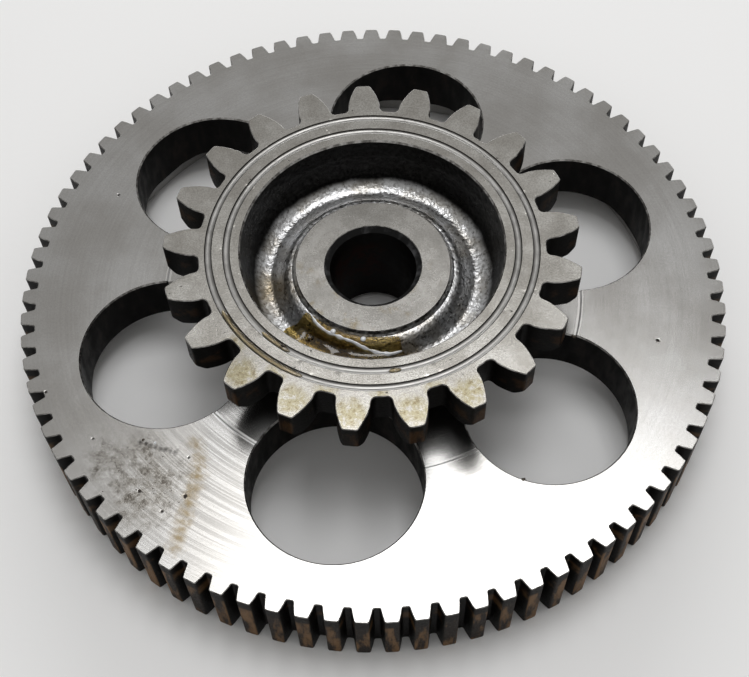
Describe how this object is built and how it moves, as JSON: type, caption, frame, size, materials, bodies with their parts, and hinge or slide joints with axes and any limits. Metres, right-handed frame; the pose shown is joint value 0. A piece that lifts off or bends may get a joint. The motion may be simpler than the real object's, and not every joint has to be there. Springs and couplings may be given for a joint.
{
  "type": "double spur gear",
  "caption": "Stepped spur gear: a wide fine-toothed wheel with round lightening holes carrying a smaller coarse-toothed dished pinion on a plain-bored hub.",
  "frame": {"origin": "on the bore axis, in the plane of the wheel's back face, which is the lowest face", "axes": "+Z along the bore axis towards the pinion side; -Y is the side nearest the viewer in the picture"},
  "size_m": [0.1274, 0.1274, 0.028],
  "materials": {
    "wheel_steel": "turned faces, oiled",
    "pinion_steel": "ground faces, forged dish, oiled"
  },
  "bodies": {
    "root": {"wheel": "wheel_steel", "pinion": "pinion_steel"}
  },
  "joints": []
}
